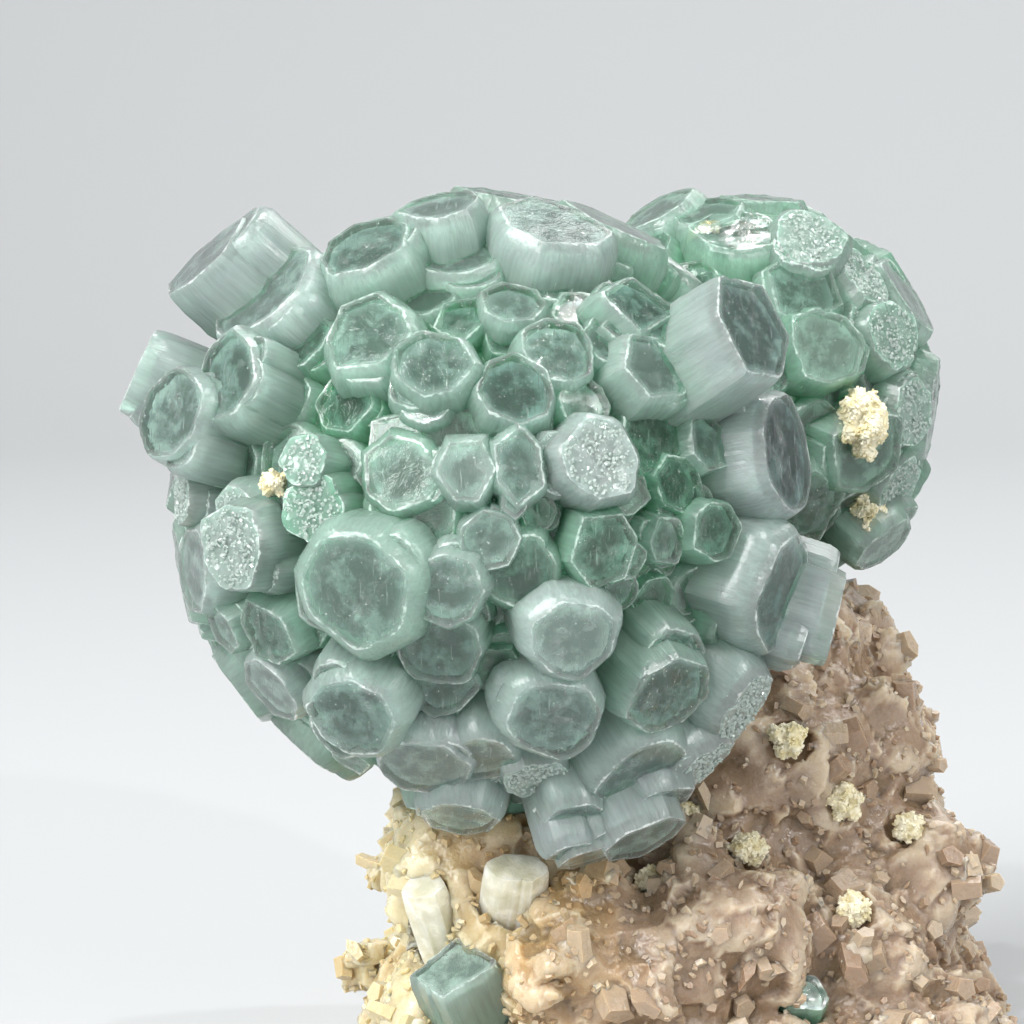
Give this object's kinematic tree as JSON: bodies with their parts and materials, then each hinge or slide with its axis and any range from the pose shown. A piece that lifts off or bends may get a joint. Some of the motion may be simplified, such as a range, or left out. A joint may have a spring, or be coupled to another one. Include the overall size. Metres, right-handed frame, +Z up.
{
  "type": "apophyllite cluster on stilbite matrix",
  "caption": "Mineral specimen: balls of stubby green apophyllite crystals on a lumpy peach stilbite matrix, cut flat below so that it stands.",
  "frame": {"origin": "middle of the flat cut under the matrix, where the specimen rests", "axes": "+Z up from the cut, +X to the right as seen from the side that shows best, -Y towards that viewer"},
  "size_m": [0.0553, 0.0584, 0.0586],
  "materials": {
    "green_apophyllite": "translucent pale green crystal with milky prism faces",
    "peach_stilbite": "sugary translucent peach crust",
    "white_stilbite": "pearly white crystal",
    "pale_apophyllite": "clear to milky crystal, faintly green",
    "cream_powder": "powdery matte cream"
  },
  "bodies": {
    "root": {"front_apophyllite_ball": "green_apophyllite", "back_apophyllite_ball": "green_apophyllite", "stilbite_matrix": "peach_stilbite", "white_stilbite_blade": "white_stilbite", "pale_stilbite_prism": "white_stilbite", "pale_green_crystal": "pale_apophyllite", "small_green_crystal": "pale_apophyllite", "cream_tuft_1": "cream_powder", "cream_tuft_2": "cream_powder", "cream_tuft_3": "cream_powder", "cream_tuft_4": "cream_powder", "cream_tuft_5": "cream_powder", "cream_tuft_6": "cream_powder", "cream_tuft_7": "cream_powder", "cream_tuft_8": "cream_powder", "cream_tuft_9": "cream_powder"}
  },
  "joints": []
}
